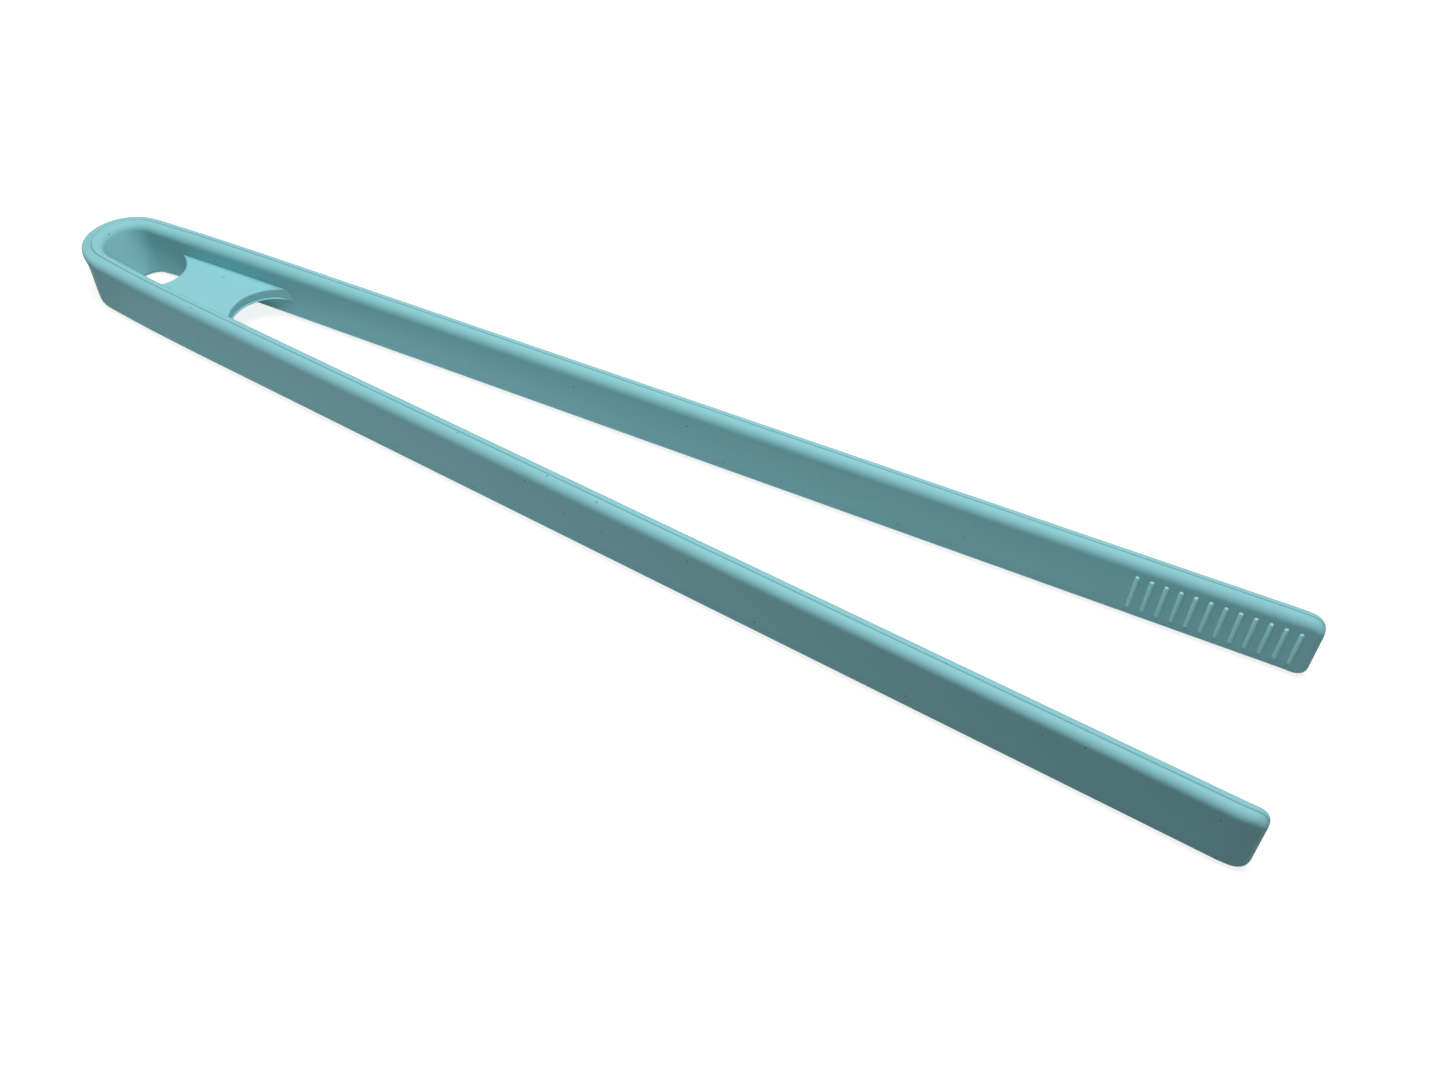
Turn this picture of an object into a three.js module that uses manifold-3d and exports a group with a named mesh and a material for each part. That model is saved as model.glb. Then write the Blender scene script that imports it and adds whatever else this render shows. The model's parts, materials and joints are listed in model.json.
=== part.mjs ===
// One-piece spring tongs: a glass-filled nylon spring frame, bent in a narrow U, inside a soft
// silicone cover. The bow at the back joins two long arms, a thin web ties the arms together just
// in front of the bow and leaves a hanging hole behind it, and the tips carry raised grip ribs.
//
// Each arm flexes a third of the way along its free length. Frame and cover are divided there,
// so that the bow and the two arms are separate bodies that turn about the flexure lines.
//
// Units are millimetres. X runs from the bow to the tips, Y across the arms, Z up. The tongs lie
// on their lower edges, and the origin is the centre of the base.

import * as THREE from 'three';
import { mergeVertices } from 'three/addons/utils/BufferGeometryUtils.js';
import Module from 'manifold-3d';

// ---- Driving dimensions -------------------------------------------------------------------

// Here x is 0 at the back of the bow's outer face, before the wall's lean and rounded edges.
const LENGTH = 290;                       // to the tips
const BOW_RADIUS = 11.1;                  // outer face of the bow, in plan
const BOW_EXIT_ANGLE = THREE.MathUtils.degToRad(5.45);  // where the bow's arc ends
const ARM_ANGLE = THREE.MathUtils.degToRad(3.46);       // straight run of each arm
const ARM_STRAIGHT_FROM = 44.25;          // x at which the arm becomes straight
const TIP_HALF_WIDTH = 28.6;              // outer face of the arm at its tip

// The bow leans back: its lower edge stands forward of its upper edge, most at the very back.
const BOW_LEAN = 5.4;
const BOW_LEAN_REACH = 26;                // x at which the arms stand upright
const BOW_LEAN_SHAPE = 0.78;              // below 1 the wall curves, steepest near the top
const BOW_BACK_X = 1.04;                  // rearmost point of the rounded, leaning bow

const WALL_AT_BOW = 4.8;                  // thickness of an arm, across
const WALL_AT_TIP = 4.57;
const HEIGHT_AT_BOW = 13.4;               // height of an arm, upright
const HEIGHT_AT_TIP = 15.86;
const EDGE_RADIUS = 2.15;                 // long edges of the cover

const FLEXURE_X = 82;                     // flexure line of each arm
const FLEXURE_GAP = 0.9;                  // space between bow and arm there

const TIP_CORNER_RADIUS = 3;              // upper and lower corners of the tip, from the side
const TIP_FACE_RADIUS = 1.2;              // upright edges of the tip's end face
const TIP_NOSE_RADIUS = 16;               // outer face as it turns in to the tip
const TIP_NOSE_LENGTH = 6;

const CORE_WALL_AT_BOW = 2.6;             // spring frame
const CORE_WALL_AT_TIP = 2.2;
const CORE_INSET = 1.5;                   // from the cover's upper and lower edges
const CORE_EDGE_RADIUS = 0.5;
const CORE_END_SETBACK = 6;               // from the tip's end face
const FIT_GAP = 0.3;                      // between frame and cover

const WEB_THICKNESS = 2.7;
const WEB_MIDDLE_Z = 7;
const WEB_CORE_THICKNESS = 1.1;
// Concave edges, as circles in plan at the web's upper and lower faces.
const WEB_FRONT = { upper: { x: 51.9, radius: 10 }, lower: { x: 51.2, radius: 9.4 } };
const WEB_BACK = { upper: { x: 16.8, radius: 7.65 }, lower: { x: 16.8, radius: 7.65 } };
const WEB_EDGE_COVER = 1.1;               // silicone beyond the web plate's concave edges

const RIB_COUNT = 12;
const RIB_PITCH = 3.08;
const RIB_RADIUS = 0.5;                   // half of a rib's width, and how far it stands proud
const RIB_LENGTH = 8.2;                   // between the centres of its round ends
const LAST_RIB_SETBACK = 4.05;            // from the tip's end face

const CORNER_STEPS = 3;                   // facets round each edge of a section
const BOW_STEPS = 14;                     // facets round each half of the bow
const SIDES = new Map([['left', 1], ['right', -1]]);

// ---- Materials ----------------------------------------------------------------------------

const silicone = () => new THREE.MeshStandardMaterial({ color: 0x8fcdd2, roughness: 0.5, metalness: 0 });
const nylon = () => new THREE.MeshStandardMaterial({ color: 0xe6e2d6, roughness: 0.55, metalness: 0 });

// ---- Solids -------------------------------------------------------------------------------

const wasm = await Module();
wasm.setup();

function toSolid(geometry) {
  const bare = geometry.clone();
  bare.deleteAttribute('normal');
  bare.deleteAttribute('uv');
  const welded = mergeVertices(bare, 1e-5);
  return new wasm.Manifold(new wasm.Mesh({
    numProp: 3,
    vertProperties: welded.attributes.position.array,
    triVerts: new Uint32Array(welded.index.array),
  }));
}

function toMesh(name, solid, material) {
  const result = solid.getMesh();
  const geometry = new THREE.BufferGeometry();
  geometry.setAttribute('position', new THREE.BufferAttribute(result.vertProperties, 3));
  geometry.setIndex(new THREE.BufferAttribute(result.triVerts, 1));
  geometry.computeVertexNormals();
  const mesh = new THREE.Mesh(geometry, material);
  mesh.name = name;
  return mesh;
}

// ---- The line of the tongs, in plan -------------------------------------------------------

// Outer face of one half: a quarter bow, an easing curve and the straight arm.
function outerFaceLine() {
  const end = new THREE.Vector2(LENGTH - WALL_AT_TIP * Math.sin(ARM_ANGLE), TIP_HALF_WIDTH);
  const straight = new THREE.Vector2(ARM_STRAIGHT_FROM, 0);
  straight.y = end.y - (end.x - straight.x) * Math.tan(ARM_ANGLE);
  const exit = new THREE.Vector2(
    BOW_RADIUS * (1 - Math.sin(BOW_EXIT_ANGLE)),
    BOW_RADIUS * Math.cos(BOW_EXIT_ANGLE),
  );
  // The easing curve's control point is where the two tangents cross.
  const rise = straight.y - exit.y - (straight.x - exit.x) * Math.tan(BOW_EXIT_ANGLE);
  const back = rise / (Math.tan(ARM_ANGLE) - Math.tan(BOW_EXIT_ANGLE));
  const control = new THREE.Vector2(straight.x - back, straight.y - back * Math.tan(ARM_ANGLE));

  const line = new THREE.Path();
  line.absarc(BOW_RADIUS, 0, BOW_RADIUS, Math.PI, Math.PI / 2 + BOW_EXIT_ANGLE, true);
  line.quadraticCurveTo(control.x, control.y, straight.x, straight.y);
  line.lineTo(end.x, end.y);
  return line;
}

const outerFace = outerFaceLine();
const FACE_LENGTH = outerFace.getLength();
const ARC_LENGTH = BOW_RADIUS * (Math.PI / 2 - BOW_EXIT_ANGLE);

// Distance along the outer face at which the straight arm passes a given x.
const distanceAtX = (x) => FACE_LENGTH - (LENGTH - x) / Math.cos(ARM_ANGLE);

const taper = (x, atBow, atTip) => {
  const t = THREE.MathUtils.clamp((x - BOW_RADIUS) / (LENGTH - BOW_RADIUS), 0, 1);
  return THREE.MathUtils.lerp(atBow, atTip, t);
};
const wallAt = (x) => taper(x, WALL_AT_BOW, WALL_AT_TIP);
const heightAt = (x) => taper(x, HEIGHT_AT_BOW, HEIGHT_AT_TIP);
const coreWallAt = (x) => taper(x, CORE_WALL_AT_BOW, CORE_WALL_AT_TIP);

// A station stands on the outer face. Positive distances run along the left arm, negative ones
// along the right, and zero is the back of the bow.
function stationAt(distance) {
  const side = distance < 0 ? -1 : 1;
  const u = Math.min(Math.abs(distance) / FACE_LENGTH, 1);
  const point = outerFace.getPointAt(u);
  const tangent = outerFace.getTangentAt(u);
  return {
    x: point.x,
    fromTip: FACE_LENGTH - Math.abs(distance),
    point: new THREE.Vector3(point.x, side * point.y, 0),
    inward: new THREE.Vector3(tangent.y, -side * tangent.x, 0),
  };
}

// How far forward the leaning bow stands at a height above its lower edge.
function leanAt({ x }, z) {
  const below = THREE.MathUtils.clamp(1 - z / heightAt(x), 0, 1);
  const back = Math.max(1 - x / BOW_LEAN_REACH, 0);
  return BOW_LEAN * below ** BOW_LEAN_SHAPE * back ** 1.5;
}

function onStation(station, depth, z) {
  const place = station.point.clone().addScaledVector(station.inward, depth).setZ(z);
  place.x += leanAt(station, z);
  return place;
}

// ---- Lofting ------------------------------------------------------------------------------

// Rounded rectangle as depths from the outer face and heights, always with the same number of
// points, so that any two sections can be joined.
function roundedSection({ near, far, low, high, radius }) {
  const r = Math.min(radius, (far - near) / 2 - 0.02, (high - low) / 2 - 0.02);
  const corners = [
    [far - r, high - r, 0],
    [near + r, high - r, 1],
    [near + r, low + r, 2],
    [far - r, low + r, 3],
  ];
  return corners.flatMap(([depth, height, quarter]) => (
    Array.from({ length: CORNER_STEPS + 1 }, (_, i) => {
      const angle = (quarter + i / CORNER_STEPS) * Math.PI / 2;
      return new THREE.Vector2(depth + r * Math.cos(angle), height + r * Math.sin(angle));
    })
  ));
}

// Closed solid through one section at each station.
function loft(distances, sectionAt) {
  const rings = distances.map((distance) => {
    const station = stationAt(distance);
    return roundedSection(sectionAt(station)).map((p) => onStation(station, p.x, p.y));
  });
  const size = rings[0].length;
  const triangles = [];
  for (let k = 0; k + 1 < rings.length; k += 1) {
    for (let i = 0; i < size; i += 1) {
      const j = (i + 1) % size;
      const a = k * size + i;
      const b = k * size + j;
      triangles.push(a, a + size, b + size, a, b + size, b);
    }
  }
  const last = (rings.length - 1) * size;
  for (let i = 1; i + 1 < size; i += 1) {
    triangles.push(0, i, i + 1);
    triangles.push(last, last + i + 1, last + i);
  }
  const geometry = new THREE.BufferGeometry().setFromPoints(rings.flat());
  geometry.setIndex(triangles);
  return toSolid(geometry);
}

const spread = (from, to, steps) => (
  Array.from({ length: steps + 1 }, (_, i) => THREE.MathUtils.lerp(from, to, i / steps))
);

// How far a rounded corner has cut back a face, at a distance from the corner's end.
function cutBack(fromEnd, radius) {
  const inside = Math.max(radius - fromEnd, 0);
  return radius - Math.sqrt(radius ** 2 - inside ** 2);
}

// ---- Sections -----------------------------------------------------------------------------

function coverSection({ x, fromTip }) {
  const corner = cutBack(fromTip, TIP_CORNER_RADIUS);
  const faceEdge = cutBack(fromTip, TIP_FACE_RADIUS);
  const noseTravel = Math.max(TIP_NOSE_LENGTH - fromTip, 0);
  const nose = TIP_NOSE_RADIUS - Math.sqrt(TIP_NOSE_RADIUS ** 2 - noseTravel ** 2);
  return {
    near: nose + faceEdge,
    far: wallAt(x) - faceEdge,
    low: corner,
    high: heightAt(x) - corner,
    radius: EDGE_RADIUS,
  };
}

function coreSection({ x }) {
  const margin = (wallAt(x) - coreWallAt(x)) / 2;
  return {
    near: margin,
    far: wallAt(x) - margin,
    low: CORE_INSET,
    high: heightAt(x) - CORE_INSET,
    radius: CORE_EDGE_RADIUS,
  };
}

function cavitySection(station) {
  const core = coreSection(station);
  return {
    near: core.near - FIT_GAP,
    far: core.far + FIT_GAP,
    low: core.low - FIT_GAP,
    high: core.high + FIT_GAP,
    radius: core.radius + FIT_GAP,
  };
}

// ---- Bow ----------------------------------------------------------------------------------

const BOW_END = distanceAtX(FLEXURE_X) - FLEXURE_GAP / 2;
const ARM_START = distanceAtX(FLEXURE_X) + FLEXURE_GAP / 2;

function bowDistances(overrun) {
  const half = [
    ...spread(0, ARC_LENGTH, BOW_STEPS),
    ...spread(ARC_LENGTH, distanceAtX(ARM_STRAIGHT_FROM), 4).slice(1),
    BOW_END + overrun,
  ];
  return [...half.slice(1).map((d) => -d).reverse(), ...half];
}

// Upright cutter whose circle changes evenly from the web's lower face to its upper face, and
// keeps on changing for a millimetre beyond each.
function webCutter({ upper, lower }, edgeInset) {
  const beyond = 1 / WEB_THICKNESS;
  const circleAt = (t) => ({
    x: THREE.MathUtils.lerp(lower.x, upper.x, t),
    radius: THREE.MathUtils.lerp(lower.radius, upper.radius, t) + edgeInset,
  });
  const top = circleAt(1 + beyond);
  const bottom = circleAt(-beyond);
  const height = WEB_THICKNESS + 2;
  const geometry = new THREE.CylinderGeometry(top.radius, bottom.radius, height, 64);
  geometry.rotateX(Math.PI / 2);
  const slant = new THREE.Matrix4().makeShear(0, 0, 0, 0, (top.x - bottom.x) / height, 0);
  geometry.applyMatrix4(slant);
  geometry.translate((top.x + bottom.x) / 2, 0, WEB_MIDDLE_Z);
  return toSolid(geometry);
}

// Plate between the arms with two concave edges. Its sides end inside the arms, at a given
// depth below their outer faces.
function web(thickness, depth, edgeInset) {
  const back = stationAt(ARC_LENGTH + 2);
  const front = stationAt(distanceAtX(WEB_FRONT.upper.x));
  const corners = [back, front].map((station) => onStation(station, depth, 0));
  const outline = new THREE.Shape();
  outline.moveTo(corners[0].x, -corners[0].y);
  outline.lineTo(corners[1].x, -corners[1].y);
  outline.lineTo(corners[1].x, corners[1].y);
  outline.lineTo(corners[0].x, corners[0].y);
  outline.closePath();
  const geometry = new THREE.ExtrudeGeometry(outline, { depth: thickness, bevelEnabled: false });
  geometry.translate(0, 0, WEB_MIDDLE_Z - thickness / 2);
  return toSolid(geometry)
    .subtract(webCutter(WEB_BACK, edgeInset))
    .subtract(webCutter(WEB_FRONT, edgeInset));
}

function bowCore() {
  const frame = loft(bowDistances(0), coreSection);
  return frame.add(web(WEB_CORE_THICKNESS, WALL_AT_BOW / 2, WEB_EDGE_COVER));
}

function bowCover() {
  const outside = loft(bowDistances(0), coverSection).add(web(WEB_THICKNESS, 1, 0));
  const cavity = loft(bowDistances(1), cavitySection)
    .add(web(WEB_CORE_THICKNESS + 2 * FIT_GAP, WALL_AT_BOW / 2, WEB_EDGE_COVER - FIT_GAP));
  return outside.subtract(cavity);
}

// ---- Arms ---------------------------------------------------------------------------------

const TIP_STATIONS = [6, 4.4, 3, 1.8, 0.9, 0.3, 0];

function rib(index, side) {
  const distance = FACE_LENGTH - LAST_RIB_SETBACK - index * RIB_PITCH;
  const station = stationAt(side * distance);
  const root = onStation(station, wallAt(station.x), heightAt(station.x) / 2);
  const geometry = new THREE.CapsuleGeometry(RIB_RADIUS, RIB_LENGTH, 3, 10);
  geometry.rotateX(Math.PI / 2);
  geometry.translate(root.x, root.y, root.z);
  return toSolid(geometry);
}

function armCore(side) {
  const end = FACE_LENGTH - CORE_END_SETBACK;
  return loft(orient(spread(ARM_START, end, 6), side), coreSection);
}

function armCover(side) {
  const distances = [
    ...spread(ARM_START, FACE_LENGTH - TIP_NOSE_LENGTH, 6).slice(0, -1),
    ...TIP_STATIONS.map((fromTip) => FACE_LENGTH - fromTip),
  ];
  const cavityEnd = FACE_LENGTH - CORE_END_SETBACK + FIT_GAP;
  const cavity = loft(orient(spread(ARM_START - 1, cavityEnd, 6), side), cavitySection);
  let cover = loft(orient(distances, side), coverSection).subtract(cavity);
  for (let index = 0; index < RIB_COUNT; index += 1) {
    cover = cover.add(rib(index, side));
  }
  return cover;
}

// Distances along one arm, in the order that keeps the faces of its loft pointing out.
function orient(distances, side) {
  return side > 0 ? distances : distances.map((d) => -d).reverse();
}

// ---- Assembly -----------------------------------------------------------------------------

const tongs = new THREE.Group();
tongs.position.x = -(LENGTH + BOW_BACK_X) / 2;

tongs.add(toMesh('bow_core', bowCore(), nylon()));
tongs.add(toMesh('bow_cover', bowCover(), silicone()));
for (const [name, side] of SIDES) {
  tongs.add(toMesh(`${name}_arm_core`, armCore(side), nylon()));
  tongs.add(toMesh(`${name}_arm_cover`, armCover(side), silicone()));
}

export default tongs;
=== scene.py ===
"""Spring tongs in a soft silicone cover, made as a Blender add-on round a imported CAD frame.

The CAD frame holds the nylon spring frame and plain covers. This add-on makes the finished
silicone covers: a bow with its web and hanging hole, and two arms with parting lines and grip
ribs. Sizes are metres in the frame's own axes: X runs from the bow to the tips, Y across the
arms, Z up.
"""

import json
import math

import bmesh
import bpy
import numpy as np
from bpy.props import FloatProperty, FloatVectorProperty, IntProperty, PointerProperty
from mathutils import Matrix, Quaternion, Vector


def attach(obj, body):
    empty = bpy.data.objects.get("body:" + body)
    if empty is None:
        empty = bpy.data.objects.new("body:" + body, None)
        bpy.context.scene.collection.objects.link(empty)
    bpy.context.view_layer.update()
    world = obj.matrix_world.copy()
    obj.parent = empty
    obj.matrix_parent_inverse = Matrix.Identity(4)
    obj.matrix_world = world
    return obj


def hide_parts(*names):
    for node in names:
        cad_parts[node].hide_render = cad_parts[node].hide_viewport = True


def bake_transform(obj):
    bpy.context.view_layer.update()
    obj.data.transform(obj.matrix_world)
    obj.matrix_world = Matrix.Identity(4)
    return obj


bl_info = {
    "name": "Spring Tongs",
    "version": (1, 0, 0),
    "blender": (4, 5, 0),
    "location": "View3D > Sidebar > Tongs",
    "description": "Makes the silicone covers, finishes and studio of a pair of spring tongs",
    "category": "Add Mesh",
}

MM = 0.001

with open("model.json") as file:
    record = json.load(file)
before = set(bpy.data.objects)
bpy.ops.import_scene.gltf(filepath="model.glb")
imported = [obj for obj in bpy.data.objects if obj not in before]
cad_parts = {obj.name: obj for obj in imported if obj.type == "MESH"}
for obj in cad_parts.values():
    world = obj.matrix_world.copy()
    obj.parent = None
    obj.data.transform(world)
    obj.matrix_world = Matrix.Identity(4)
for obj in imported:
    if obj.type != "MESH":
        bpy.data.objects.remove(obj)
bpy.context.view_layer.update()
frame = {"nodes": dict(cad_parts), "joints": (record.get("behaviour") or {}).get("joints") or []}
BOW, LEFT_ARM, RIGHT_ARM = "bow", "left_arm", "right_arm"
FLEXURE = Vector(frame["joints"][0]["pos_m"])
REST_POSITION = "rest_position"
# The relief marks where colour is painted: shade along the grooves of the parting lines, and a
# paler colour on the ribs.
RELIEF = "relief"                 # -1 along a parting line, 1 on a rib and 0 elsewhere


# ---- Sizes and colours that a user would change --------------------------------------------


class TongsShape(bpy.types.PropertyGroup):
    """Sizes of the silicone cover."""

    bow_radius: FloatProperty(
        name="Bow radius", description="Outer face of the bow, from above",
        default=11.1 * MM, unit="LENGTH",
    )
    bow_exit_angle: FloatProperty(
        name="Bow exit angle", description="Angle of the arm where the bow's arc ends",
        default=math.radians(5.45), subtype="ANGLE",
    )
    arm_angle: FloatProperty(
        name="Arm angle", description="Angle of the straight run of each arm",
        default=math.radians(3.46), subtype="ANGLE",
    )
    straight_from: FloatProperty(
        name="Straight from", description="Distance from the back at which an arm is straight",
        default=44.25 * MM, unit="LENGTH",
    )
    tip_half_width: FloatProperty(
        name="Tip half width", description="Outer face of an arm at its tip, from the middle",
        default=28.6 * MM, unit="LENGTH",
    )
    wall_at_bow: FloatProperty(
        name="Wall at bow", description="Thickness across an arm at the bow",
        default=4.8 * MM, unit="LENGTH",
    )
    wall_at_tip: FloatProperty(
        name="Wall at tip", description="Thickness across an arm at its tip",
        default=4.57 * MM, unit="LENGTH",
    )
    height_at_bow: FloatProperty(
        name="Height at bow", description="Upright height of an arm at the bow",
        default=13.4 * MM, unit="LENGTH",
    )
    height_at_tip: FloatProperty(
        name="Height at tip", description="Upright height of an arm at its tip",
        default=15.86 * MM, unit="LENGTH",
    )
    outer_edge_radius: FloatProperty(
        name="Outer edge radius", description="Rounding of the long edges of the outer face",
        default=2.08 * MM, unit="LENGTH",
    )
    inner_edge_radius: FloatProperty(
        name="Inner edge radius", description="Rounding of the long edges of the inner face",
        default=2.26 * MM, unit="LENGTH",
    )
    rim_radius: FloatProperty(
        name="Rim radius", description="Rounding of the rim's outer edge at the bow's back",
        default=0.6 * MM, unit="LENGTH",
    )
    rim_inner_radius: FloatProperty(
        name="Rim inner radius", description="Rounding of the rim's inner edge at the back",
        default=1.3 * MM, unit="LENGTH",
    )
    rim_drop: FloatProperty(
        name="Rim drop", description="How much lower the rim's outer edge is at the back",
        default=1.15 * MM, unit="LENGTH",
    )
    rim_flare: FloatProperty(
        name="Rim flare", description="How far the bow's rim stands out over its wall",
        default=2.7 * MM, unit="LENGTH",
    )
    rim_flare_depth: FloatProperty(
        name="Rim flare depth", description="Depth below the rim at which most of it is over",
        default=1.65 * MM, unit="LENGTH",
    )
    outer_lean: FloatProperty(
        name="Outer lean", description="How far the outer face leans in further, below the rim",
        default=2.2 * MM, unit="LENGTH",
    )
    inner_lean: FloatProperty(
        name="Inner lean", description="How far the bow's inner face leans in at its lower edge",
        default=5.4 * MM, unit="LENGTH",
    )
    inner_lean_curve: FloatProperty(
        name="Inner lean curve", description="Below 1 the inner face is flattest near its top",
        default=0.78,
    )
    bow_reach: FloatProperty(
        name="Bow reach", description="Distance from the back at which an arm is upright",
        default=26 * MM, unit="LENGTH",
    )
    parting_width: FloatProperty(
        name="Parting line width", description="Width of the fine groove that the mould leaves",
        default=0.4 * MM, unit="LENGTH",
    )
    parting_shift: FloatProperty(
        name="Parting line shift", description="How far it lies from the middle of an arm",
        default=0.6 * MM, unit="LENGTH",
    )
    parting_depth: FloatProperty(
        name="Parting line depth", description="Depth of the fine groove that the mould leaves",
        default=0.12 * MM, unit="LENGTH",
    )
    rib_count: IntProperty(
        name="Ribs", description="Grip ribs on each tip", default=12,
    )
    rib_pitch: FloatProperty(
        name="Rib pitch", description="Distance between neighbouring ribs",
        default=3.08 * MM, unit="LENGTH",
    )
    rib_radius: FloatProperty(
        name="Rib radius", description="Half of a rib's width, and how far it stands proud",
        default=0.5 * MM, unit="LENGTH",
    )
    rib_length: FloatProperty(
        name="Rib length", description="Between the centres of a rib's round ends",
        default=8.2 * MM, unit="LENGTH",
    )
    last_rib_setback: FloatProperty(
        name="Last rib setback", description="From the tip's end face to the last rib",
        default=4.05 * MM, unit="LENGTH",
    )


class TongsFinish(bpy.types.PropertyGroup):
    """Colours and surface of the two materials."""

    cover_colour: FloatVectorProperty(
        name="Cover", description="Silicone, as moulded", subtype="COLOR", size=3,
        default=(0.272, 0.612, 0.658), min=0, max=1,
    )
    cover_roughness: FloatProperty(
        name="Cover roughness", description="Satin of the silicone", default=0.5,
        min=0, max=1, subtype="FACTOR",
    )
    cover_shine: FloatProperty(
        name="Cover shine", description="Strength of the silicone's mirror reflection",
        default=0.13, min=0, max=1, subtype="FACTOR",
    )
    cover_bloom: FloatProperty(
        name="Cover bloom", description="Pale bloom of the silicone at glancing angles",
        default=0.05, min=0, max=1, subtype="FACTOR",
    )
    # The ribs are painted in this paler colour, evenly along their length.
    rib_colour: FloatVectorProperty(
        name="Ribs", description="Silicone of the ribs, paler with wear", subtype="COLOR",
        size=3, default=(0.43, 0.87, 0.9), min=0, max=1,
    )
    core_colour: FloatVectorProperty(
        name="Spring frame", description="Glass-filled nylon, as moulded", subtype="COLOR",
        size=3, default=(0.79, 0.76, 0.68), min=0, max=1,
    )


class TongsStudio(bpy.types.PropertyGroup):
    """Camera and light."""

    camera_place: FloatVectorProperty(
        name="Camera", description="Where the camera stands", subtype="TRANSLATION",
        unit="LENGTH", size=3, default=(0.114362, -0.218645, 0.243802),
    )
    camera_target: FloatVectorProperty(
        name="Target", description="Where the camera looks", subtype="TRANSLATION",
        unit="LENGTH", size=3, default=(0.023009, 0.02351, 0.0075),
    )
    camera_roll: FloatProperty(
        name="Roll", description="Turn of the camera about its line of sight",
        default=math.radians(7.5696), subtype="ANGLE",
    )
    camera_lens: FloatProperty(
        name="Lens", description="Focal length in millimetres on a 36 mm sensor",
        default=39.506, unit="CAMERA",
    )
    camera_shift: FloatVectorProperty(
        name="Shift", description="Lens shift, in widths of the picture", size=2,
        default=(-0.0349, -0.0693),
    )
    overhead_place: FloatVectorProperty(
        name="Overhead place", description="Where the soft box hangs", subtype="TRANSLATION",
        unit="LENGTH", size=3, default=(0, 0, 0.85),
    )
    overhead_size: FloatProperty(
        name="Overhead size", description="Diameter of the soft box", default=0.6,
        unit="LENGTH",
    )
    overhead_power: FloatProperty(
        name="Overhead power", description="Soft box above the tongs, in watts", default=7.5,
        unit="POWER",
    )
    room_light: FloatProperty(
        name="Room light", description="Even light from all round", default=0.06,
    )


# ---- The cover's shape ---------------------------------------------------------------------

# How finely the skins are divided.
CORNER_STEPS = 8
WALL_POINTS = 12
EASE_STEPS = 200
BOW_STEPS = 35
BOW_TO_WEB_STEPS = 9
WEB_STEPS = 26
WEB_TO_SEAM_STEPS = 5
WEB_COLUMNS = 36
EDGE_STEPS = 4
BEND_STEPS = 40
ARM_STEPS = 30
NOSE_STEPS = 6
TIP_STEPS = 9
HOLLOW_STEPS = 59
RIB_SIDES = 32
RIB_STEPS = 18
WALL_SAMPLES = 200
HALVINGS = 50
STATION_DIGITS = 8                # decimals to which stations are told apart

# Places in a profile's list of points: the bottoms of its upper and lower grooves, along
# which shade is painted.
GROOVE_POINTS = (CORNER_STEPS + 2, 3 * CORNER_STEPS + WALL_POINTS + 7)

# Along the tongs, distances run from the back of the bow's outer face, before the wall's lean
# and rounded edges. ORIGIN is where the frame's own origin lies on that scale.
LENGTH = 290 * MM
ORIGIN = 145.52 * MM

BOW_SEAM = 52 * MM                # where the bow's cover meets the arms' covers
BACK_CURVE = 1.5                  # above 1 the lean fades soonest at the back
PARTING_CROSSING = 1.5            # where the parting line is fully across, in lengths of the arc
BEND_HALF = 29 * MM               # half of the stretch over which an arm's cover bends
BEND_MARGIN = 4 * MM              # of close stations beyond it
TIP_CORNER_RADIUS = 3 * MM
TIP_FACE_RADIUS = 1.2 * MM
TIP_NOSE_RADIUS = 16 * MM
TIP_NOSE_LENGTH = 6 * MM
RIB_LEAST_HEIGHT = 0.02 * MM      # a point that stands further proud belongs to a rib

CORE_WALL_AT_BOW = 2.6 * MM
CORE_WALL_AT_TIP = 2.2 * MM
CORE_INSET = 1.5 * MM
CORE_END_SETBACK = 6 * MM
CAVITY_RADIUS = 0.8 * MM
CAVITY_HALF_FLAT = 0.1 * MM
FIT_GAP = 0.3 * MM

WEB_MIDDLE_HEIGHT = 7 * MM
WEB_THICKNESS = 2.7 * MM
WEB_CORE_THICKNESS = 1.1 * MM
WEB_EDGE_COVER = 1.1 * MM
WEB_EDGE_ROUND = 0.3 * MM
WEB_ROUND_FADE = 0.12             # share of the half width over which the rounding dies away
# The lip along the foot of the front edge, in roundings: how far it stands out, and the heights
# above the lower face at which it starts and is fully out.
LIP_OUT, LIP_START, LIP_FULL = 1.1, 1.6, 1.3
# Centre and radius of the concave edges, at the web's upper and lower faces.
WEB_FRONT = ((51.9 * MM, 10 * MM), (51.2 * MM, 9.4 * MM))
WEB_BACK = ((16.8 * MM, 7.65 * MM), (16.8 * MM, 7.65 * MM))

SAME_PLACE = 0.001 * MM           # points this close are one point
NO_LENGTH = 0.0001 * MM
LEVEL = 1e-9                      # radians, below which a direction is level
SHARP_EDGE = math.radians(28)     # faces that meet at more than this keep a hard edge


def steps(start, end, count):
    """Evenly spaced values from start to end, both of them included."""
    return np.linspace(start, end, count + 1)


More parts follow.
